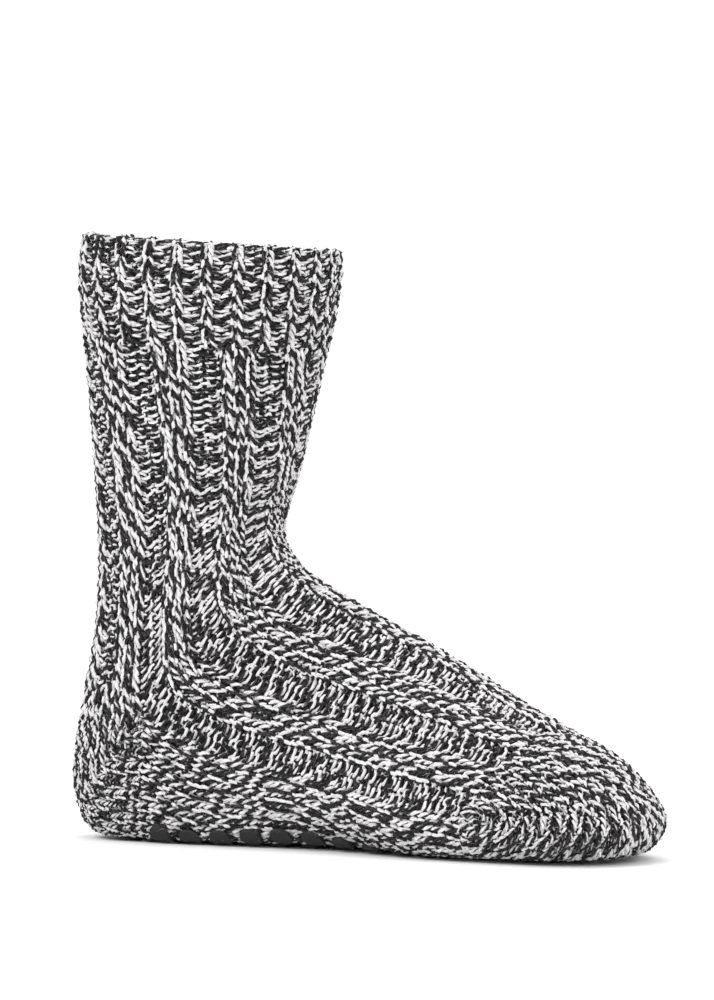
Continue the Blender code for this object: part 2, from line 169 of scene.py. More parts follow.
# Wales and courses of the upper and the lower half of the heel and of the toe
HEEL_WALES = (23, 27)
HEEL_COURSES = (21, 24)
TOE_WALES = (27, 30)
TOE_COURSES = (19, 28)
# Where the two halves meet, as a share of a pocket's turn, and rows of a pocket's own grid
HEEL_MITRE = 0.5
TOE_MITRE = 0.34
FAN_ROWS = 161
# Courses that are turned in at the collar
TURNED_COURSES = 6
# How far off the floor the knit stays, and how softly it flattens there, in metres
SOLE_CLEAR = 0.0008
SOLE_SOFT = 0.0006

# The front's wales turn from the leg to the foot on a curve: its size, how far along a wale it
# reaches, how fast it fades away from the hinge, and the least move that is brought back
TURN_RADIUS = 0.010
TURN_REACH = 0.048
TURN_FADE = 0.016
LEAST_MOVE = 1e-5

# The first half of a knit stitch, a purl stitch and the cuff's purl stitch, in the order that the
# yarn runs: across and along in wales and courses, depth from 0 at the back to 1 at the front, and
# thickness as a share of the yarn's
KNIT_STITCH = (
    (-0.50, -0.95, 0.00, 0.82),
    (-0.27, -0.90, 0.10, 0.88),
    (-0.17, -0.50, 0.62, 0.98),
    (-0.27, 0.00, 1.00, 1.06),
    (-0.38, 0.48, 0.62, 0.98),
    (0.00, 0.82, 0.00, 0.82),
)
PURL_STITCH = (
    (-0.50, -0.80, 1.00, 0.90),
    (-0.33, -0.75, 0.90, 0.90),
    (-0.19, -0.42, 0.20, 0.80),
    (-0.33, 0.32, 0.20, 0.80),
    (-0.31, 0.64, 0.88, 0.90),
    (0.00, 0.73, 1.00, 0.90),
)
CUFF_PURL_STITCH = (
    (-0.50, -0.80, 1.00, 0.86),
    (-0.28, -0.77, 1.00, 0.92),
    (-0.08, -0.58, 0.55, 0.84),
    (-0.36, 0.26, 0.15, 0.80),
    (-0.38, 0.62, 0.85, 0.90),
    (0.00, 0.73, 1.00, 0.92),
)


def whole_stitch(half):
    """A stitch with its second half, the mirror image of the first."""
    return (*half, *((-across, *rest) for across, *rest in half[4:0:-1]))


# The kinds of stitch, with the shape of each, and the depths of its back and front from the middle
# surface, in millimetres
KNIT, PURL, PLAIN, CUFF_PURL = range(4)
HALVES = (KNIT_STITCH, PURL_STITCH, KNIT_STITCH, CUFF_PURL_STITCH)
STITCHES = np.array([whole_stitch(half) for half in HALVES])
DEPTHS = np.array([(-1.40, -0.25), (-2.10, -1.30), (-1.90, -0.75), (-2.10, -1.30)])
# Depths of the backing's outer and inner face, and its spacing of a pocket's rows
BACKING_DEPTH = (-1.75, -3.05)
BACKING_ROWS = 8
# An open strand's ends: how far they run on across and along, their depth and thickness
END_ACROSS = (-0.45, 0.35)
END_ALONG = 0.5
END_DEPTH = -2.3
END_YARN = 0.6
# Random changes of a stitch and of each of its points, in wales, courses and millimetres, and of a
# stitch's thickness as a share
UNEVEN_ACROSS = (0.022, 0.012)
UNEVEN_ALONG = (0.045, 0.02)
UNEVEN_DEPTH = (0.10, 0.05)
UNEVEN_YARN = 0.06
# The yarn's radius in millimetres, and shares of it: in the upper and the lower half of a pocket,
# in the collar's edge, in the toe's seam and in the seam's loose ends
YARN_RADIUS = 1.20
FAN_YARN = (0.86, 0.79)
EDGE_YARN = 0.50
SEAM_YARN = 0.86
LOOSE_YARN = 0.74
# The collar's edge: half the wall's thickness there in millimetres, and how flat its top is
EDGE_HALF = 1.85
EDGE_FLAT = 0.45
# The toe's seam: a stitch's points as courses past the toe ring and depth in millimetres, the wales
# of all points, and the wales where loose ends lie
SEAM_STITCH = np.array([(-0.55, -1.7), (0.05, -0.45), (0.60, -1.7), (0.05, -2.1)])
SEAM_WALES = np.arange(13.0, 37.01, 0.25)
LOOSE_WALES = (13.2, 13.9, 14.6, 36.8, 36.1)
# Loose fibres: how many on leg, foot, heel and toe, length and radius in millimetres, share of the
# radius at the bend, and share of light ones
HAIRS = (1350, 900, 300, 450)
HAIR_LENGTH = 4.5
HAIR_RADIUS = 0.05
HAIR_TAPER = 0.8
LIGHT_HAIRS = 0.6
# Places of the light and of the dark ply round the yarn
LIGHT_PLY, DARK_PLY = 0.25, 0.75
# The yarn's two plies: angle round the yarn in degrees and share of its radius, groove first
PLY_RING = ((0.0, 0.46), (57.0, 1.0), (123.0, 1.0), (180.0, 0.46), (237.0, 1.0), (303.0, 1.0))
RING_SIDES = len(PLY_RING)
# Length of a ply's full turn in metres, and how far it wanders from point to point
PLY_TWIST = 0.0118
PLY_WANDER = 0.035

# Angles in degrees, distance and target in metres, and lens in millimetres
CAMERA_AZIMUTH = 29.0
CAMERA_ELEVATION = 0.8
CAMERA_DISTANCE = 1.9
CAMERA_TARGET = (-0.004, 0.0, 0.140)
CAMERA_LENS = 170.0
# Square lights: name, place and side in metres, and power in watts
LIGHTS = (
    ("key", (-0.6, -1.3, 1.3), 1.0, 13.0),
    ("fill", (1.3, -0.9, 0.9), 1.0, 8.0),
    ("top", (0.1, 0.3, 1.8), 1.2, 9.0),
)
LIT_POINT = (0, 0, 0.12)
STUDIO_STRENGTH = 1.1
FLOOR_HALF = 6

rng = np.random.default_rng(7)


def between(low, high, share):
    return low + (high - low) * share


def smooth_step(value):
    value = np.clip(value, 0.0, 1.0)
    return value * value * (3 - 2 * value)


def unit(vectors, least=0.0):
    """Vectors of length 1; the least length keeps a vanishing one harmless."""
    return vectors / (np.linalg.norm(vectors, axis=-1, keepdims=True) + least)


def running(steps):
    """The sum of the steps so far, from 0 on."""
    return np.concatenate([np.zeros((1, *steps.shape[1:])), np.cumsum(steps, axis=0)])


def spline(rows, places):
    """The rows of a table read at fractional row numbers, on a smooth curve through them."""
    rows = np.asarray(rows, float)
    slopes = np.gradient(rows, axis=0)
    low = np.clip(np.floor(places).astype(int), 0, len(rows) - 2)
    t = (np.asarray(places) - low)[:, None]
    a, b = rows[low], rows[low + 1]
    return (
        a * (1 + 2 * t) * (1 - t) ** 2
        + b * t * t * (3 - 2 * t)
        + slopes[low] * t * (1 - t) ** 2
        + slopes[low + 1] * t * t * (t - 1)
    )


def shaft_sections():
    """Full sections from the collar down to the heel's hinges."""
    rows = []
    for up, swell, drop, tilt in LEG_SECTIONS:
        depth = between(ANKLE_DEPTH, COLLAR_DEPTH, swell)
        half = between(ANKLE_WIDTH, COLLAR_WIDTH, swell) / 2
        z = between(ANKLE_HEIGHT, SOCK_HEIGHT, up)
        back = ANKLE_BACK + ANKLE_DEPTH / 2 + COLLAR_FORWARD * up - depth / 2
        side = (back + SIDE_SHARE * depth, z - COLLAR_DROP * drop * SIDE_SHARE, half, half)
        front = (back + depth, z - COLLAR_DROP * drop + ANKLE_TILT * tilt)
        rows.append((*side, *front, back, z, LEG_FRONT_BULGE, LEG_BACK_BULGE, 0.0))
    ankle = rows[-1]
    for down, back, spread, front_x, front_z, bulge in GUSSET_SECTIONS:
        half = between(ANKLE_WIDTH, HEEL_WIDTH, spread) / 2
        z = between(ANKLE_HEIGHT, HEEL_HINGE_HEIGHT, down)
        side = (between(ankle[SIDE_X], HEEL_HINGE_X, down), z, half, half)
        front = (front_x * FOOT_LENGTH, front_z * INSTEP_HEIGHT)
        back_bulge = between(LEG_BACK_BULGE, HINGE_BACK_BULGE, down)
        rows.append((*side, *front, back * ANKLE_BACK, z, bulge, back_bulge, 0.0))
    return np.array(rows)


def foot_sections():
    """Full sections from the heel's hinges to the toe ring; the back point lies on the sole."""
    rows = []
    for side_x, side_z, inner, outer, top_x, top_z, sole_x, top_bulge, sole_bulge in FOOT_SECTIONS:
        inner_half = between(HEEL_WIDTH, BALL_WIDTH, inner) / 2
        outer_half = between(HEEL_WIDTH, BALL_WIDTH, outer) / 2
        side = (side_x * FOOT_LENGTH, side_z * HEEL_HINGE_HEIGHT)
        top = (top_x * FOOT_LENGTH, top_z * INSTEP_HEIGHT)
        sole = (sole_x * FOOT_LENGTH, SOLE_LOW)
        rows.append((*side, inner_half, outer_half, *top, *sole, top_bulge, sole_bulge, 0.0))
    rows[0] = (HEEL_HINGE_X, HEEL_HINGE_HEIGHT) + rows[0][2:]
    rows[-1] = (TOE_HINGE_X, TOE_HINGE_HEIGHT) + rows[-1][2:5] + (TOE_HEIGHT,) + rows[-1][6:]
    return np.array(rows)


def half_loop(side, inner, outer, apex, bulge, shift):
    """A half section from the inner side point over an apex to the outer one, closely spaced."""
    turn = np.linspace(0, math.pi, LOOP_DETAIL + 1)
    across = np.sign(np.cos(turn)) * np.abs(np.cos(turn)) ** (2 / bulge)
    rise = np.abs(np.sin(turn)) ** (2 / bulge)
    y = (outer - inner) / 2 + shift * rise - (outer + inner) / 2 * across
    x = side[0] + (apex[0] - side[0]) * rise
    z = side[1] + (apex[1] - side[1]) * rise
    return np.stack([x, y, z], axis=1)


def stretched(wale):
    """Place of a wale on a ribbed section: purl wales are stretched, knit ones drawn in."""
    rib = np.round(wale / RIB_WALES) * RIB_WALES
    off = wale - rib
    near = np.abs(off)
    edge = KNIT_WALES_OF_RIB / 2
    past_edge = KNIT_WIDTH * edge + PURL_WIDTH * (near - edge)
    return rib + np.sign(off) * np.where(near <= edge, KNIT_WIDTH * near, past_edge)


HINGE_PLACE = float(stretched(np.array([HINGE]))[0])


def paired(wale):
    """Place of a wale in the cuff, where every second wale is knit and drawn in."""
    pair = np.floor((wale + 0.5) / 2) * 2 - 0.5
    off = wale - pair
    past_purl = CUFF_PURL_WIDTH + CUFF_KNIT_WIDTH * (off - 1)
    return pair + np.where(off <= 1, CUFF_PURL_WIDTH * off, past_purl)


def wale_places(wales, ribbed_back, cuff=0.0):
    """Places round a section, from 0 at the front, with the plain back's wales spread evenly."""
    ribbed = stretched(wales)
    share = (wales - HINGE) / (WALES - 2 * HINGE)
    plain = HINGE_PLACE + share * (WALES - 2 * HINGE_PLACE)
    at_back = (wales > HINGE) & (wales < WALES - HINGE)
    ribbed = np.where(at_back, between(plain, ribbed, ribbed_back), ribbed)
    return between(ribbed, paired(wales), cuff)


def read_points(points, measure, wanted):
    """Points of a polyline where a measure that grows along it has the wanted values."""
    return np.stack([np.interp(wanted, measure, points[:, axis]) for axis in range(3)], axis=1)


def along(points, shares):
    """Points at shares of a polyline's length."""
    length = running(np.linalg.norm(np.diff(points, axis=0), axis=1))
    return read_points(points, length, shares * length[-1])


def section_points(row, places):
    """Points of a full section at places round it, counted from its front toward the inner side."""
    side, half_widths = row[[SIDE_X, SIDE_Z]], (row[INNER], row[OUTER])
    front = half_loop(side, *half_widths, row[[FRONT_X, FRONT_Z]], row[FRONT_BULGE], row[SHIFT])
    back = half_loop(side, *half_widths, row[[BACK_X, BACK_Z]], row[BACK_BULGE], 0.0)
    places = np.mod(places, WALES)
    turned = np.where(places > WALES / 2, places - WALES, places)
    at_front = np.abs(turned) <= HINGE_PLACE
    front_points = along(front, (HINGE_PLACE - turned) / (2 * HINGE_PLACE))
    back_points = along(back, (places - HINGE_PLACE) / (WALES - 2 * HINGE_PLACE))
    return np.where(at_front[:, None], front_points, back_points)


def stand(points):
    """Lifts the inner arch, then rests what lies below the sole's plane on it."""
    x, y, z = points.T
    rise = np.sin(math.pi * np.clip((x / FOOT_LENGTH - ARCH_START) / ARCH_SPAN, 0, 1)) ** 2
    inner = smooth_step((ARCH_EDGE - y) / ARCH_FADE_WIDTH)
    z = z + ARCH_RISE * rise * inner * np.exp(-((np.maximum(z, 0) / ARCH_FADE_HEIGHT) ** 2))
    off = z - SOLE_PLANE
    eased = SOLE_PLANE + (off + SOLE_BLEND) ** 2 / (4 * SOLE_BLEND)
    z = np.where(off > SOLE_BLEND, z, np.where(off < -SOLE_BLEND, SOLE_PLANE, eased))
    return np.stack([x, y, z], axis=1)


def heel_rows():
    """Apex x, apex z, bulge and shift of the heel's half sections, from the shaft to the sole."""
    shaft, foot = shaft_sections()[-1], foot_sections()[0]
    rows = [(shaft[BACK_X], shaft[BACK_Z], shaft[BACK_BULGE], 0.0)]
    rows += [(x * HEEL_HINGE_X, z * HEEL_HINGE_HEIGHT, bulge, 0.0) for x, z, bulge in HEEL_PROFILE]
    rows.append((foot[BACK_X], foot[BACK_Z], foot[BACK_BULGE], 0.0))
    return np.array(rows)


def toe_rows():
    """The same for the toe, from the top of its ring round the tip to the sole."""
    ring = foot_sections()[-1]
    rows = [(ring[FRONT_X], ring[FRONT_Z], ring[FRONT_BULGE], ring[SHIFT])]
    for ahead, up, bulge, shift in TOE_PROFILE:
        rows.append((TOE_HINGE_X + ahead * TOE_LENGTH, up * TOE_HEIGHT, bulge, -shift * BIG_TOE_SHIFT))
    rows.append((ring[BACK_X], ring[BACK_Z], ring[BACK_BULGE], 0.0))
    return np.array(rows)


class Surface:
    """Points and outward normals on a grid of courses and wales, read at any course and wale.

    Where the grid shrinks to a point, as at a fan's hinges, it has the nearest normal there is.
    """

    def __init__(self, points, closed=True, first_wale=0.0):
        self.points, self.first_wale, self.closed = points, first_wale, closed
        down = np.gradient(points, axis=0)
        if closed:
            around = np.roll(points, -1, axis=1) - np.roll(points, 1, axis=1)
        else:
            around = np.gradient(points, axis=1)
        normal = np.cross(around, down)
        size = np.linalg.norm(normal, axis=2)
        known = size > 1e-9
        self.normals = normal / np.where(known, size, 1.0)[..., None]
        good = np.argwhere(known)
        for place in np.argwhere(~known):
            nearest = good[np.abs(good - place).sum(axis=1).argmin()]
            self.normals[tuple(place)] = self.normals[tuple(nearest)]

    def read(self, courses, wales):
        """Points, also past the first and the last course, and unit normals."""
        row = courses * GRID
        column = (wales - self.first_wale) * GRID
        rows, columns = self.points.shape[:2]
        i = np.clip(np.floor(row).astype(int), 0, rows - 2)
        u = (row - i)[..., None]
        j = np.floor(column).astype(int)
        if not self.closed:
            j = np.clip(j, 0, columns - 2)
        v = (column - j)[..., None]
        j, k = j % columns, (j + 1) % columns

        def mixed(field, share):
            top = field[i, j] * (1 - v) + field[i, k] * v
            low = field[i + 1, j] * (1 - v) + field[i + 1, k] * v
            return top * (1 - share) + low * share

        return mixed(self.points, u), unit(mixed(self.normals, np.clip(u, 0, 1)))


def even_courses(sections, finish):
    """Section places of the grid's rows, so that courses have about the same spacing on average."""
    fine = np.linspace(0, len(sections) - 1, FINE_STEPS)
    rows = spline(sections, fine)
    paths = np.stack([finish(section_points(row, MEASURED_PLACES)) for row in rows])
    steps = np.linalg.norm(np.diff(paths, axis=0), axis=2).mean(axis=1)
    in_cuff = rows[1:, BACK_Z] > SOCK_HEIGHT - CUFF_HEIGHT
    length = running(steps * np.where(in_cuff, COURSE / CUFF_COURSE, 1.0))
    count = int(round(length[-1] / (COURSE * MM)))
    return np.interp(np.linspace(0, length[-1], count * GRID + 1), length, fine)


def leg_surface():
    """Grid of the leg, from the collar down to the heel's hinges."""
    sections = shaft_sections()
    grid = []
    for row in spline(sections, even_courses(sections, lambda points: points)):
        z = row[BACK_Z]
        twist = TWIST_WALES * smooth_step((z - ANKLE_HEIGHT) / (SOCK_HEIGHT - ANKLE_HEIGHT))
        over_plain = z - HEEL_HINGE_HEIGHT - PLAIN_ABOVE_HEEL
        ribbed_back = smooth_step((over_plain + RIB_FADE / 2) / RIB_FADE)
        cuff = smooth_step((z - SOCK_HEIGHT + CUFF_HEIGHT + CUFF_FADE / 2) / CUFF_FADE)
        grid.append(section_points(row, wale_places(GRID_WALES, ribbed_back, cuff) + twist))
    return np.array(grid)


def turned_edge(grid):
    """Grid rows up the inside of the collar and over its rim, to go before the leg's rows."""
    top = grid[0]
    inward = top.mean(axis=0) - top
    inward[:, 2] = 0
    inward = unit(inward)
    up = np.array([0.0, 0.0, 1.0])
    thick = EDGE_HALF * MM
    arc = math.pi * thick
    rows = []
    for step in range(TURNED_COURSES * GRID, 0, -1):
        path = step / GRID * COURSE * MM
        if path < arc:
            turn = path / thick
            rise = up * thick * EDGE_FLAT * math.sin(turn)
            rows.append(top + inward * thick * (1 - math.cos(turn)) + rise)
        else:
            rows.append(top + inward * 2 * thick - up * (path - arc))
    return np.array(rows)


def edged_surface(grid):
    """The leg's surface behind its turned edge, where the leg begins at course TURNED_COURSES."""
    return Surface(np.concatenate([turned_edge(grid), grid]))


def foot_surface():
    """Grid of the foot, from the heel's hinges to the toe ring."""
    sections = foot_sections()
    rows = spline(sections, even_courses(sections, stand))
    places = wale_places(GRID_WALES, 0.0)
    return np.array([stand(section_points(row, places)) for row in rows])


def whole_tree(leg, foot, fan):
    """The middle surface of leg, foot and heel, to bring moved points back to."""
    points, faces = [], []
    for grid, closed in ((leg[::2, ::2], True), (foot[::2, ::2], True), (fan[::4, ::2], False)):
        rows, columns = grid.shape[:2]
        for i in range(rows - 1):
            first = len(points) + i * columns
            for j in range(columns if closed else columns - 1):
                a, b = first + j, first + (j + 1) % columns
                faces.append([a, b, b + columns, a + columns])
        points += [tuple(point) for point in grid.reshape(-1, 3)]
    return BVHTree.FromPolygons(points, faces)


def settled(points, start, tree):
    """Moved points brought back to the surface; the others are left."""
    far = np.linalg.norm(points - start, axis=-1) > LEAST_MOVE
    for index in zip(*np.nonzero(far)):
        points[index] = tree.find_nearest(Vector(points[index]))[0]
    return points


def smoothed_wale(points, path, spacing):
    """A wale's points, smoothed along it where it turns from the leg to the foot."""
    near = np.exp(-(((path[:, None] - path[None, :]) / TURN_RADIUS) ** 2) / 2) * spacing[None]
    smooth = near @ points / near.sum(axis=1, keepdims=True)
    share = smooth_step((TURN_REACH - np.abs(path)) / (TURN_REACH / 2))[:, None]
    return between(points, smooth, share)


def faded(gap):
    """Share of a hinge's move that reaches points so far from it."""
    return np.exp(-((gap / TURN_FADE) ** 2))


def turned_fan(fan, hinge_points, shifts, tree):
    """A heel fan's grid that follows the moves of its two hinges."""
    near = fan.copy()
    half = fan.shape[1] // 2
    for columns, point, shift in zip((slice(0, half), slice(half, None)), hinge_points, shifts):
        gap = np.linalg.norm(fan[:, columns] - point, axis=2)
        near[:, columns] += shift * faded(gap)[..., None]
    return settled(near, fan, tree)


def eased_turn(leg, foot, fans):
    """Rounds the turn of the front's wales from leg to foot; what lies beside the hinges follows."""
    ring = len(leg) - 1
    joined = np.concatenate([leg[:-1], foot])
    path = running(np.linalg.norm(np.diff(joined, axis=0), axis=2))
    path -= path[ring]
    spacing = np.gradient(path, axis=0)
    hinges = [int(HINGE * GRID), int((WALES - HINGE) * GRID)]
    tree = whole_tree(leg, foot, fans[0])
    moved = joined.copy()
    for j in (*range(hinges[0] + 1), *range(hinges[1], joined.shape[1])):
        smooth = smoothed_wale(joined[:, j], path[:, j], spacing[:, j])
        moved[:, j] = settled(smooth, joined[:, j], tree)
    shift = moved - joined
    for j in range(hinges[0] + 1, hinges[1]):
        nearest = hinges[0] if j < BACK_WALE * GRID else hinges[1]
        gap = np.linalg.norm(joined[:, j] - joined[:, nearest], axis=1)
        follower = joined[:, j] + shift[:, nearest] * faded(gap)[:, None]
        moved[:, j] = settled(follower, joined[:, j], tree)
    turned = [turned_fan(fan, joined[ring, hinges], shift[ring, hinges], tree) for fan in fans]
    return moved[: ring + 1], moved[ring:], turned


class Fan:
    """A pocket of half sections hinged on two side points.

    Its courses lie parallel to its first and last sections, and meet on a slanting line.
    """

    def __init__(self, side, inner, outer, profile, columns, mitre_share, courses):
        rows = spline(profile, np.linspace(0, len(profile) - 1, FAN_ROWS))
        middle, side_point = rows[:, :2], np.array(side)
        reach = np.linalg.norm(middle - side_point, axis=1)
        bearing = np.unwrap(np.arctan2(rows[:, 1] - side[1], rows[:, 0] - side[0]))
        turn = np.abs(bearing - bearing[0])
        mitre_turn = mitre_share * turn[-1]
        past_mitre = (turn[-1] - turn) / (turn[-1] - mitre_turn)
        angle = np.where(turn > mitre_turn, past_mitre, turn / mitre_turn) * math.pi / 4
        length = running(np.linalg.norm(np.diff(middle, axis=0), axis=1))
        self.columns = columns
        self.mitre = float(np.interp(mitre_turn, turn, np.arange(FAN_ROWS)))
        to_mitre = np.interp(self.mitre, np.arange(FAN_ROWS), length)
        self.grid = np.zeros((FAN_ROWS, len(columns), 3))
        self.from_top, self.from_end = np.zeros((2, FAN_ROWS, len(columns)))
        for index, row in enumerate(rows):
            loop = half_loop(side, inner, outer, row[:2], row[2], row[3])
            points = along(loop, self.bent_columns(1 / math.cos(angle[index])))
            rise = np.linalg.norm(points[:, [0, 2]] - side_point, axis=1) / reach[index]
            to_end = length[-1] - length[index]
            self.grid[index] = stand(points)
            self.from_top[index] = courses[0] * rise * length[index] / to_mitre
            self.from_end[index] = courses[1] * rise * to_end / (length[-1] - to_mitre)

    def bent_columns(self, factor):
        """Shares round a half section, set toward its apex where the wales run at a slant."""
        share = np.minimum(self.columns, 1 - self.columns) * 2
        bent = share * factor / (1 + share * (factor - 1))
        return np.where(self.columns < 0.5, bent / 2, 1 - bent / 2)

    def half(self, upper, count):
        """The grid of one half as courses by wales, with the fan place of each point.

        A course that a wale doesn't reach has a place far past the slanting line.
        """
        wanted = np.arange(0, count * GRID + 1) / GRID
        columns = len(self.columns)
        points = np.zeros((len(wanted), columns, 3))
        places = np.zeros((len(wanted), columns))
        index = np.arange(float(FAN_ROWS))
        unreached = 1e3 if upper else -1e3
        for k in range(columns):
            if upper:
                measure, order = self.from_top[:, k], index
            else:
                measure, order = self.from_end[::-1, k], index[::-1]
            highest = max(float(measure.max()), 1e-6)
            growing = np.maximum.accumulate(measure) + index * 1e-9
            place = np.interp(np.minimum(wanted, highest), growing, order)
            places[:, k] = np.where(wanted > highest, unreached, place)
            points[:, k] = read_points(self.grid[:, k], index, place)
        return points, places


def wale_kind(wale, course, cuff_courses, ribbed_back):
    """Kind of stitch: alternate in the cuff, ribs at the front, and ribs or plain at the back."""
    wale = wale % WALES
    if course < cuff_courses:
        return KNIT if wale % 2 else CUFF_PURL
    if ribbed_back or wale < HINGE or wale > WALES - HINGE:
        off = abs(wale - round(wale / RIB_WALES) * RIB_WALES)
        return KNIT if off < KNIT_WALES_OF_RIB / 2 else PURL
    return PLAIN


def uneven(values, changes):
    """Control points' values, with a random change for each stitch and one for each point."""
    by_stitch = rng.normal(0, changes[0], (len(values), 1))
    by_point = rng.normal(0, changes[1], values.shape)
    return values + by_stitch + by_point


def with_ends(values, first, last):
    return np.concatenate([[first], values, [last]])


def pressed(z):
    """Flattens what would reach under the sole's own plane, which the dots hold off the floor."""
    off = z - SOLE_CLEAR
    eased = SOLE_CLEAR + (off + SOLE_SOFT) ** 2 / (4 * SOLE_SOFT)
    return np.where(off > SOLE_SOFT, z, np.where(off < -SOLE_SOFT, SOLE_CLEAR, eased))


def new_object(name, data):
    made = bpy.data.objects.new(name, data)
    bpy.context.scene.collection.objects.link(made)
    return made


def new_piece(name, points, faces, corners, looks, numbers=None):
    """A smooth piece over the frame's origin, with its corners' values and its faces' looks."""
    points = np.array(points)
    points[:, 0] -= FOOT_LENGTH / 2
    points[:, 2] = pressed(points[:, 2])
    mesh = bpy.data.meshes.new(name)
    mesh.from_pydata(points, [], faces)
    if numbers:
        mesh.polygons.foreach_set("material_index", numbers)
    layer = mesh.uv_layers.new(name="yarn")
    layer.data.foreach_set("uv", np.ravel(corners))
    mesh.validate()
    mesh.shade_smooth()
    for look in looks:
        mesh.materials.append(look)
    return new_object(name, mesh)


class Knitting:
    """Tubes of yarn for many courses, gathered into one mesh."""

    def __init__(self, name):
        self.name = name
        self.vertices, self.faces, self.uvs = [], [], []
        self.count = 0

    def strand(self, surface, course, wales, kinds, closed, fine=1.0):
        """One course of stitches in order of wale. An open strand's ends dip under the others."""
        shape = STITCHES[kinds]
        depth = between(DEPTHS[kinds][:, 0, None], DEPTHS[kinds][:, 1, None], shape[:, :, 2])
        previous = np.roll(kinds, 1)
        before = between(*DEPTHS[previous].T, STITCHES[previous][:, 0, 2])
        depth[:, 0] = (depth[:, 0] + before) / 2
        wale = (wales[:, None] + uneven(shape[:, :, 0], UNEVEN_ACROSS)).ravel()
        row = (course + uneven(shape[:, :, 1], UNEVEN_ALONG)).ravel()
        depth = uneven(depth, UNEVEN_DEPTH).ravel()
        thick = shape[:, :, 3] * (1 + rng.normal(0, UNEVEN_YARN, (len(wales), 1)))
        thick = thick.ravel() * fine
        if not closed:
            wale = with_ends(wale, wale[0] + END_ACROSS[0], wale[-1] + END_ACROSS[1])
            row = with_ends(row, row[0] + END_ALONG, row[-1] + END_ALONG)
            depth = with_ends(depth, END_DEPTH, END_DEPTH)
            thick = with_ends(thick, thick[0] * END_YARN, thick[-1] * END_YARN)
        self.run(surface, row, wale, depth, thick, closed, PLY_TWIST * fine)

    def run(self, surface, rows, wales, depths, thick, closed=False, twist=PLY_TWIST):
        """A strand through given places on a surface, at depths from it in millimetres."""
        points, normals = surface.read(rows, wales)
        points = points + normals * (depths * MM)[:, None]
        self.tube(points, normals, thick * YARN_RADIUS * MM, closed, twist)

    def tube(self, points, normals, radii, closed, twist):
        """A twisted tube along a line of points, closed into a ring or with two ends."""
        count = len(points)
        spans = count if closed else count - 1
        if closed:
            ahead = np.roll(points, -1, axis=0) - np.roll(points, 1, axis=0)
        else:
            ahead = np.gradient(points, axis=0)
        ahead = unit(ahead, 1e-12)
        side = unit(np.cross(ahead, normals), 1e-12)
        out = np.cross(side, ahead)
        length = running(np.linalg.norm(np.roll(points, -1, axis=0) - points, axis=1))
        turns = length[spans] / twist
        if closed:
            turns = max(1, round(turns))
        wander = np.cumsum(rng.normal(0, PLY_WANDER, count))
        wander -= np.linspace(0, wander[-1], count)
        turn = rng.uniform() - turns * length[:count] / length[spans] + wander
        angles, shares = np.array(PLY_RING).T
        angles = np.radians(angles)[None] + 2 * math.pi * turn[:, None]
        ring = out[:, None] * np.cos(angles)[..., None] + side[:, None] * np.sin(angles)[..., None]
        vertices = points[:, None] + ring * (radii[:, None] * shares[None])[..., None]
        first = self.count
        self.vertices.append(vertices.reshape(-1, 3))
        self.count += count * RING_SIDES
        self.join_rings(first, count, spans, length / twist)
        if not closed:
            self.cap(first, count)

    def join_rings(self, first, count, spans, run):
        """Faces between a tube's rings, each corner with its twists along and its share round it."""
        i, k = np.arange(spans)[:, None], np.arange(RING_SIDES)[None]
        next_i, next_k = (i + 1) % count, (k + 1) % RING_SIDES
        corners = ((i, k), (i, next_k), (next_i, next_k), (next_i, k))
        faces = [first + ring * RING_SIDES + turn for ring, turn in corners]
        self.faces.append(np.stack(faces, axis=-1).reshape(-1, 4))
        start, end = run[:spans, None], run[1 : spans + 1, None]
        near, far = k / RING_SIDES, (k + 1) / RING_SIDES
        places = ((start, near), (start, far), (end, far), (end, near))
        uvs = [np.stack(np.broadcast_arrays(*place), axis=-1) for place in places]
        self.uvs.append(np.stack(uvs, axis=2).reshape(-1, 2))

    def cap(self, first, count):
        """Closes a strand's two ends, each with two faces."""
        start = first + np.arange(RING_SIDES)
        for ring in (start[::-1], start + (count - 1) * RING_SIDES):
            self.faces.append(ring[[[0, 1, 2, 3], [0, 3, 4, 5]]])
            self.uvs.append(np.zeros((8, 2)))

    def build(self, look):
        parts = (np.concatenate(rows) for rows in (self.vertices, self.faces, self.uvs))
        return new_piece(self.name, *parts, [look])


def knit_round(piece, surface, course, row, cuff_courses, ribbed_back):
    """One closed course, at a row of its surface."""
    kinds = [wale_kind(wale, course, cuff_courses, ribbed_back) for wale in range(WALES)]
    piece.strand(surface, row, np.arange(float(WALES)), np.array(kinds), True)


def knit_leg(grid, look):
    """Cuff, leg and ankle, from the collar's turned edge down to the heel's hinges."""
    surface = edged_surface(grid)
    count = (len(grid) - 1) // GRID
    heights = grid[::GRID, BACK_WALE * GRID, 2]
    cuff_courses = int(np.sum(heights > SOCK_HEIGHT - CUFF_HEIGHT))
    middle = (cuff_courses + count) // 2
    pieces = [Knitting("knit_cuff"), Knitting("knit_leg"), Knitting("knit_ankle")]
    for course in range(-TURNED_COURSES + 1, count):
        ribbed_back = heights[max(course, 0)] > HEEL_HINGE_HEIGHT + PLAIN_ABOVE_HEEL
        piece = pieces[int(course >= cuff_courses) + int(course >= middle)]
        knit_round(piece, surface, course, course + TURNED_COURSES, cuff_courses, ribbed_back)
    return [piece.build(look) for piece in pieces]


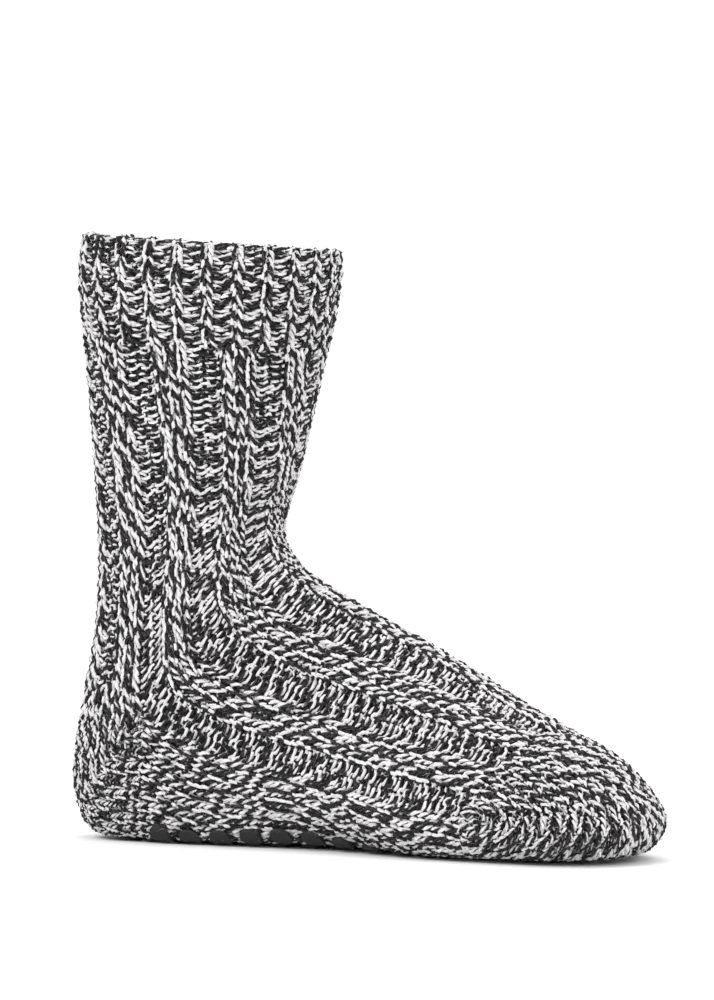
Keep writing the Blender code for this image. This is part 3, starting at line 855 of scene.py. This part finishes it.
def cast_on_edge(grid, look):
    """Two thin strands round the collar's rim, wound over each other, that link the wales' tops."""
    surface = edged_surface(grid)
    piece = Knitting("knit_edge")
    count = len(GRID_WALES)
    for phase in (0.0, 0.5):
        wave = np.cos(2 * math.pi * (GRID_WALES / 2 + phase))
        lift = np.sin(2 * math.pi * (GRID_WALES / 2 + phase))
        rows = TURNED_COURSES - 0.55 + 0.20 * lift + rng.normal(0, 0.05, count)
        depths = -0.55 + 0.45 * wave + rng.normal(0, 0.08, count)
        across = GRID_WALES + rng.normal(0, 0.03, count)
        piece.run(surface, rows, across, depths, np.full(count, EDGE_YARN), True)
    return piece.build(look)


def toe_seam(grid, look):
    """The sewn seam that closes the toe pocket onto the sole, with loose ends of its yarn."""
    surface = Surface(grid)
    piece = Knitting("knit_toe_seam")
    ring = (len(grid) - 1) / GRID
    count = len(SEAM_WALES)
    for start in (0, 2):
        ahead, depths = SEAM_STITCH[(np.arange(count) + start) % 4].T
        rows = ring + ahead + rng.normal(0, 0.06, count)
        depths = depths + rng.normal(0, 0.1, count)
        piece.run(surface, rows, SEAM_WALES, depths, np.full(count, SEAM_YARN))
    turn = np.linspace(0, 2 * math.pi, 9)
    count = len(turn)
    for wale in LOOSE_WALES:
        rows = ring + 0.2 + 0.75 * np.cos(turn) + rng.normal(0, 0.12, count)
        across = wale + 0.30 * np.sin(turn) + rng.normal(0, 0.06, count)
        depths = -0.55 + 0.45 * np.sin(2 * turn) + rng.normal(0, 0.1, count)
        piece.run(surface, rows, across, depths, np.full(count, LOOSE_YARN))
    return piece.build(look)


def knit_foot(grid, look):
    """Midfoot and forefoot, from the heel's hinges to the toe ring."""
    surface = Surface(grid)
    count = (len(grid) - 1) // GRID
    pieces = [Knitting("knit_midfoot"), Knitting("knit_forefoot")]
    for course in range(count):
        piece = pieces[0 if course < count // 2 else 1]
        knit_round(piece, surface, course, course, 0, False)
    return [piece.build(look) for piece in pieces]


def knit_fan(fans, name, courses, open_end, look):
    """A pocket's two halves; with an open end the next knitting starts with the last course."""
    piece = Knitting(name)
    for upper, fan, count, yarn in zip((True, False), fans, courses, FAN_YARN):
        points, places = fan.half(upper, count)
        if not upper:
            points, places = points[::-1], places[::-1]
        surface = Surface(points, False, -0.5)
        for course in range(count if not upper and open_end else count + 1):
            at = places[course * GRID, GRID // 2 :: GRID]
            inside = np.nonzero(at <= fan.mitre + 1.0 if upper else at >= fan.mitre - 1.0)[0]
            if len(inside) < 2:
                continue
            wales = np.arange(inside[0], inside[-1] + 1.0)
            piece.strand(surface, float(course), wales, np.full(len(wales), PLAIN), False, yarn)
    return piece.build(look)


def heel_fan(wales):
    """The heel's pocket, on so many wales from one hinge to the other."""
    columns = np.arange(0, wales * GRID + 1) / (wales * GRID)
    side, half = (HEEL_HINGE_X, HEEL_HINGE_HEIGHT), HEEL_WIDTH / 2
    return Fan(side, half, half, heel_rows(), columns, HEEL_MITRE, HEEL_COURSES)


def toe_fan(wales):
    """The toe's pocket; its top is at the foot's front, so its wales are counted the other way."""
    columns = 1 - np.arange(0, wales * GRID + 1) / (wales * GRID)
    side, end = (TOE_HINGE_X, TOE_HINGE_HEIGHT), foot_sections()[-1]
    return Fan(side, end[INNER], end[OUTER], toe_rows(), columns, TOE_MITRE, TOE_COURSES)


def fibres(grid, closed, count):
    """Roots, bends and tips of loose fibres on a surface, and two directions across each."""
    surface = Surface(grid, closed)
    rows = rng.uniform(0, (len(grid) - 1) / GRID, count)
    wales = rng.uniform(0, (grid.shape[1] - 1) / GRID, count)
    roots, normals = surface.read(rows, wales)
    away = rng.normal(size=(count, 3))
    away = unit(away - normals * np.sum(away * normals, axis=1, keepdims=True))
    side = np.cross(normals, away)
    half = rng.uniform(0.6, 1.0, (count, 1)) * HAIR_LENGTH / 2 * MM
    roots = roots + normals * rng.uniform(0.0, 0.8, (count, 1)) * MM
    bends = roots + half * (away + normals * rng.uniform(0.1, 0.6, (count, 1)))
    sway = side * rng.normal(0, 0.7, (count, 1))
    lift = normals * rng.normal(0, 0.4, (count, 1))
    return roots, bends, bends + half * (away + sway + lift), side, normals


def fuzz(grids, look):
    """Loose fibres over the stitches, each with one bend, and light or dark as one of the plies."""
    vertices, faces, shades = [], [], []
    for grid, closed, count in grids:
        for root, bend, tip, side, normal in zip(*fibres(grid, closed, count)):
            first = len(vertices)
            for place, radius in ((root, HAIR_RADIUS), (bend, HAIR_TAPER * HAIR_RADIUS)):
                for turn in (0.0, 2.1, 4.2):
                    spoke = side * math.cos(turn) + normal * math.sin(turn)
                    vertices.append(place + spoke * radius * MM)
            vertices.append(tip)
            faces.append((first + 2, first + 1, first))
            for k in range(3):
                a, b = first + k, first + (k + 1) % 3
                faces.append((a, b, b + 3, a + 3))
                faces.append((a + 3, b + 3, first + 6))
            shades += [LIGHT_PLY if rng.uniform() < LIGHT_HAIRS else DARK_PLY] * 24
    corners = np.stack([rng.uniform(0, 50, len(shades)), shades], axis=1)
    return new_piece("knit_fuzz", vertices, faces, corners, [look])


def grey(level):
    return (level, level, level, 1)


class Graph:
    """A new material, with short ways to add nodes to it. An input is a value or a socket."""

    def __init__(self, name):
        self.made = bpy.data.materials.new(name)
        self.made.use_nodes = True
        self.nodes, self.links = self.made.node_tree.nodes, self.made.node_tree.links

    def connect(self, socket, value):
        if isinstance(value, bpy.types.NodeSocket):
            self.links.new(value, socket)
        else:
            socket.default_value = value

    def plug(self, node, **values):
        """Connects a node's inputs by name, with _ for a space."""
        for name, value in values.items():
            self.connect(node.inputs[name.replace("_", " ")], value)

    def surface(self, **values):
        """Connects the shader's inputs, and gives the material."""
        self.plug(self.nodes["Principled BSDF"], **values)
        return self.made

    def place(self):
        return self.nodes.new("ShaderNodeTexCoord").outputs["Object"]

    def yarn(self):
        """The two values stored with each corner: along and round the yarn, or course and wale."""
        uv = self.nodes.new("ShaderNodeUVMap")
        uv.uv_map = "yarn"
        parts = self.nodes.new("ShaderNodeSeparateXYZ")
        self.plug(parts, Vector=uv.outputs[0])
        return parts.outputs[0], parts.outputs[1]

    def math(self, kind, *values):
        node = self.nodes.new("ShaderNodeMath")
        node.operation = kind
        for socket, value in zip(node.inputs, values):
            self.connect(socket, value)
        return node.outputs[0]

    def times(self, value, factor):
        return self.math("MULTIPLY", value, factor)

    def noise(self, place, scale, detail=2.0, roughness=0.5):
        node = self.nodes.new("ShaderNodeTexNoise")
        self.plug(node, Vector=place, Scale=scale, Detail=detail, Roughness=roughness)
        return node.outputs[0]

    def flat(self, x, y):
        """A place made of two values."""
        node = self.nodes.new("ShaderNodeCombineXYZ")
        self.plug(node, X=x, Y=y)
        return node.outputs[0]

    def step(self, value, low, high):
        node = self.nodes.new("ShaderNodeMapRange")
        node.interpolation_type = "SMOOTHSTEP"
        self.plug(node, Value=value, From_Min=low, From_Max=high)
        return node.outputs[0]

    def mix(self, share, first, second, blend="MIX"):
        node = self.nodes.new("ShaderNodeMix")
        node.data_type = "RGBA"
        node.blend_type = blend
        self.plug(node, Factor=share, A=first, B=second)
        return node.outputs["Result"]

    def bump(self, height, strength, distance):
        node = self.nodes.new("ShaderNodeBump")
        self.plug(node, Height=height, Strength=strength, Distance=distance)
        return node.outputs[0]


def marl_wool():
    """Two-ply yarn, one ply cream and one charcoal, twisted round each other along the yarn, with
    painted shade darkening the grooves between the plies.
    """
    graph = Graph("marl_wool")
    run, around = graph.yarn()
    wander = graph.math("SUBTRACT", graph.noise(graph.place(), 420.0, 3.0), 0.5)
    wave = graph.math("SINE", graph.times(around, 2 * math.pi))
    dark = graph.step(graph.math("ADD", wave, graph.times(wander, 0.5)), 0.26, -0.18)
    fibre = graph.noise(graph.flat(graph.times(run, 6.0), graph.times(around, 12.0)), 1.0, 3.0, 0.65)
    light_fibre, dark_fibre = graph.step(fibre, 0.25, 0.75), graph.step(fibre, 0.41, 0.74)
    cream = graph.mix(light_fibre, (0.37, 0.362, 0.364, 1), (0.88, 0.866, 0.870, 1))
    charcoal = graph.mix(dark_fibre, (0.002, 0.0018, 0.002, 1), (0.092, 0.086, 0.090, 1))
    # Painted shade: the colour is darkened in the grooves between the two plies, where shade falls.
    groove = graph.step(graph.math("ABSOLUTE", wave), 0.0, 0.55)
    painted_groove_shade = graph.mix(groove, grey(0.16), grey(1.0))
    return graph.surface(
        Base_Color=graph.mix(0.8, graph.mix(dark, cream, charcoal), painted_groove_shade, "MULTIPLY"),
        Normal=graph.bump(fibre, 0.5, 0.0003),
        Roughness=0.92,
        Specular_IOR_Level=0.15,
        Sheen_Weight=0.02,
        Sheen_Roughness=0.5,
    )


def painted_shade_wool():
    """Painted shade between the stitches: a near-black sheet with a fine speckle, where the dense wool
    deep between them lies in shade.
    """
    graph = Graph("painted_gap_shade")
    speckle = graph.noise(graph.place(), 700.0, 4.0, 0.7)
    # Near-black painted shade, not the yarn's own cream and charcoal.
    colour = graph.mix(graph.step(speckle, 0.45, 0.70), grey(0.001), grey(0.008))
    bump = graph.bump(speckle, 0.6, 0.0006)
    return graph.surface(Base_Color=colour, Normal=bump, Roughness=0.95)


def lining_wool():
    """The even back of the knitting on the inside: wavy ridges, in dashes of light and dark yarn, with
    painted shade between the ridges.
    """
    graph = Graph("lining_wool")
    course, wale = graph.yarn()
    sway = graph.times(graph.math("SINE", graph.times(wale, 2 * math.pi)), 0.22)
    wave = graph.math("SINE", graph.times(graph.math("ADD", course, sway), 4 * math.pi))
    ridge = graph.step(wave, -0.9, 0.9)
    dashes = graph.noise(graph.flat(graph.times(course, 2.0), graph.times(wale, 1.3)), 1.0, 1.0)
    light = graph.step(dashes, 0.45, 0.55)
    colour = graph.mix(light, (0.012, 0.011, 0.012, 1), (0.56, 0.552, 0.554, 1))
    # Painted shade: the colour turns near black towards the troughs between the ridges.
    colour = graph.mix(ridge, grey(0.010), colour)
    bump = graph.bump(ridge, 1.0, 0.0008)
    return graph.surface(Base_Color=colour, Normal=bump, Roughness=0.95)


def grip_rubber():
    """Matte near-black rubber with a fine grain."""
    graph = Graph("grip_rubber")
    place = graph.place()
    bump = graph.bump(graph.noise(place, 1600.0, 3.0, 0.6), 0.25, 0.0002)
    blotch = graph.noise(place, 220.0)
    colour = graph.mix(blotch, (0.008, 0.008, 0.0085, 1), (0.018, 0.018, 0.019, 1))
    return graph.surface(Base_Color=colour, Normal=bump, Roughness=0.62, Specular_IOR_Level=0.30)


class Shell:
    """A closed shell of patches, each an outer and an inner face with its open edges joined."""

    def __init__(self):
        self.vertices, self.faces, self.looks, self.corners = [], [], [], []

    def add(self, face, look=0, corners=((0.0, 0.0),) * 4):
        """A face, with the number of its look and its corners' stored values."""
        self.faces.append(face)
        self.looks.append(look)
        self.corners.extend(corners)

    def patch(self, points, closed, course_step, wale_step):
        """The faces over one grid; the inner one stores its courses and wales."""
        normals = Surface(points, closed).normals
        rows, columns = points.shape[:2]
        start, count = len(self.vertices), rows * columns
        for depth in BACKING_DEPTH:
            self.vertices.extend((points + normals * depth * MM).reshape(-1, 3))
        spans = columns if closed else columns - 1
        for i in range(rows - 1):
            near, far = i * course_step, (i + 1) * course_step
            for j in range(spans):
                left, right = j * wale_step, (j + 1) * wale_step
                corners = ((far, left), (far, right), (near, right), (near, left))
                a, b = start + i * columns + j, start + i * columns + (j + 1) % columns
                c, d = b + columns, a + columns
                self.add((a, b, c, d))
                self.add((count + d, count + c, count + b, count + a), 1, corners)
        for j in range(spans):
            a, b = start + j, start + (j + 1) % columns
            self.add((a, count + a, count + b, b))
            a, b = a + (rows - 1) * columns, b + (rows - 1) * columns
            self.add((a, b, count + b, count + a))
        for i in range(0 if closed else rows - 1):
            a = start + i * columns
            self.add((a, a + columns, count + a + columns, count + a))
            a += columns - 1
            self.add((a, count + a, count + a + columns, a + columns))


def backing(leg, foot, heel, toe, looks):
    """The shell that backs the stitches, painted near black outside as the shade between them, and
    with the knitting's even back inside, which has painted shade between its ridges.
    """
    shell = Shell()
    for grid in (leg, foot):
        shell.patch(grid[::GRID, ::GRID], True, 1.0, 1.0)
    for fan, courses in ((heel, HEEL_COURSES), (toe, TOE_COURSES)):
        grid = fan.grid[::BACKING_ROWS, :: GRID // 2]
        shell.patch(grid, False, sum(courses) / (len(grid) - 1), 0.5)
    return new_piece("knit_backing", shell.vertices, shell.faces, shell.corners, looks, shell.looks)


def add_floor():
    """A wide pale floor, which isn't part of the object."""
    mesh = bpy.data.meshes.new("floor")
    corners = [(x * FLOOR_HALF, y * FLOOR_HALF, 0) for x, y in ((-1, -1), (1, -1), (1, 1), (-1, 1))]
    mesh.from_pydata(corners, [], [(0, 1, 2, 3)])
    floor = new_object("floor", mesh)
    mesh.materials.append(Graph("pale_floor").surface(Base_Color=grey(0.92), Roughness=0.9))


def add_light():
    """Even white light from all round, and soft square lights."""
    world = bpy.data.worlds.new("studio")
    world.use_nodes = True
    background = world.node_tree.nodes["Background"]
    background.inputs["Color"].default_value = grey(1.0)
    background.inputs["Strength"].default_value = STUDIO_STRENGTH
    bpy.context.scene.world = world
    for name, place, size, power in LIGHTS:
        light = bpy.data.lights.new(name, "AREA")
        light.shape = "SQUARE"
        light.size = size
        light.energy = power
        lamp = new_object(name, light)
        lamp.location = place
        toward = Vector(LIT_POINT) - Vector(place)
        lamp.rotation_euler = toward.to_track_quat("-Z", "Y").to_euler()


def add_camera():
    """The photograph's viewing angle, in plain colours without a film look."""
    scene = bpy.context.scene
    scene.view_settings.view_transform = "Standard"
    scene.view_settings.look = "None"
    azimuth, elevation = math.radians(CAMERA_AZIMUTH), math.radians(CAMERA_ELEVATION)
    level = math.cos(elevation)
    back = Vector((math.sin(azimuth) * level, -math.cos(azimuth) * level, math.sin(elevation)))
    data = bpy.data.cameras.new("camera")
    data.lens = CAMERA_LENS
    data.sensor_fit = "VERTICAL"
    data.sensor_height = 36.0
    camera = new_object("camera", data)
    camera.location = Vector(CAMERA_TARGET) + back * CAMERA_DISTANCE
    camera.rotation_euler = (-back).to_track_quat("-Z", "Y").to_euler()
    scene.camera = camera


def main():
    wool, rubber = marl_wool(), grip_rubber()
    heel = [heel_fan(wales) for wales in HEEL_WALES]
    toe = [toe_fan(wales) for wales in TOE_WALES]
    leg, foot, turned = eased_turn(leg_surface(), foot_surface(), [fan.grid for fan in heel])
    for fan, grid in zip(heel, turned):
        fan.grid = grid
    grids = (leg, foot, heel[0].grid, toe[0].grid)
    pieces = [
        *knit_leg(leg, wool),
        *knit_foot(foot, wool),
        knit_fan(heel, "knit_heel", HEEL_COURSES, True, wool),
        knit_fan(toe, "knit_toe", TOE_COURSES, False, wool),
        cast_on_edge(leg, wool),
        toe_seam(foot, wool),
        # The backing's outer face is painted shade, and its inner face has painted shade between its
        # ridges.
        backing(leg, foot, heel[0], toe[0], (painted_shade_wool(), lining_wool())),
        fuzz(zip(grids, (True, True, False, False), HAIRS), wool),
    ]
    for piece in pieces:
        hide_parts("knit")
        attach(piece, "root")
    for name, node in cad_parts.items():
        if name.startswith("grip_"):
            node.data.materials.clear()
            node.data.materials.append(rubber)
    add_floor()
    add_light()
    add_camera()


main()
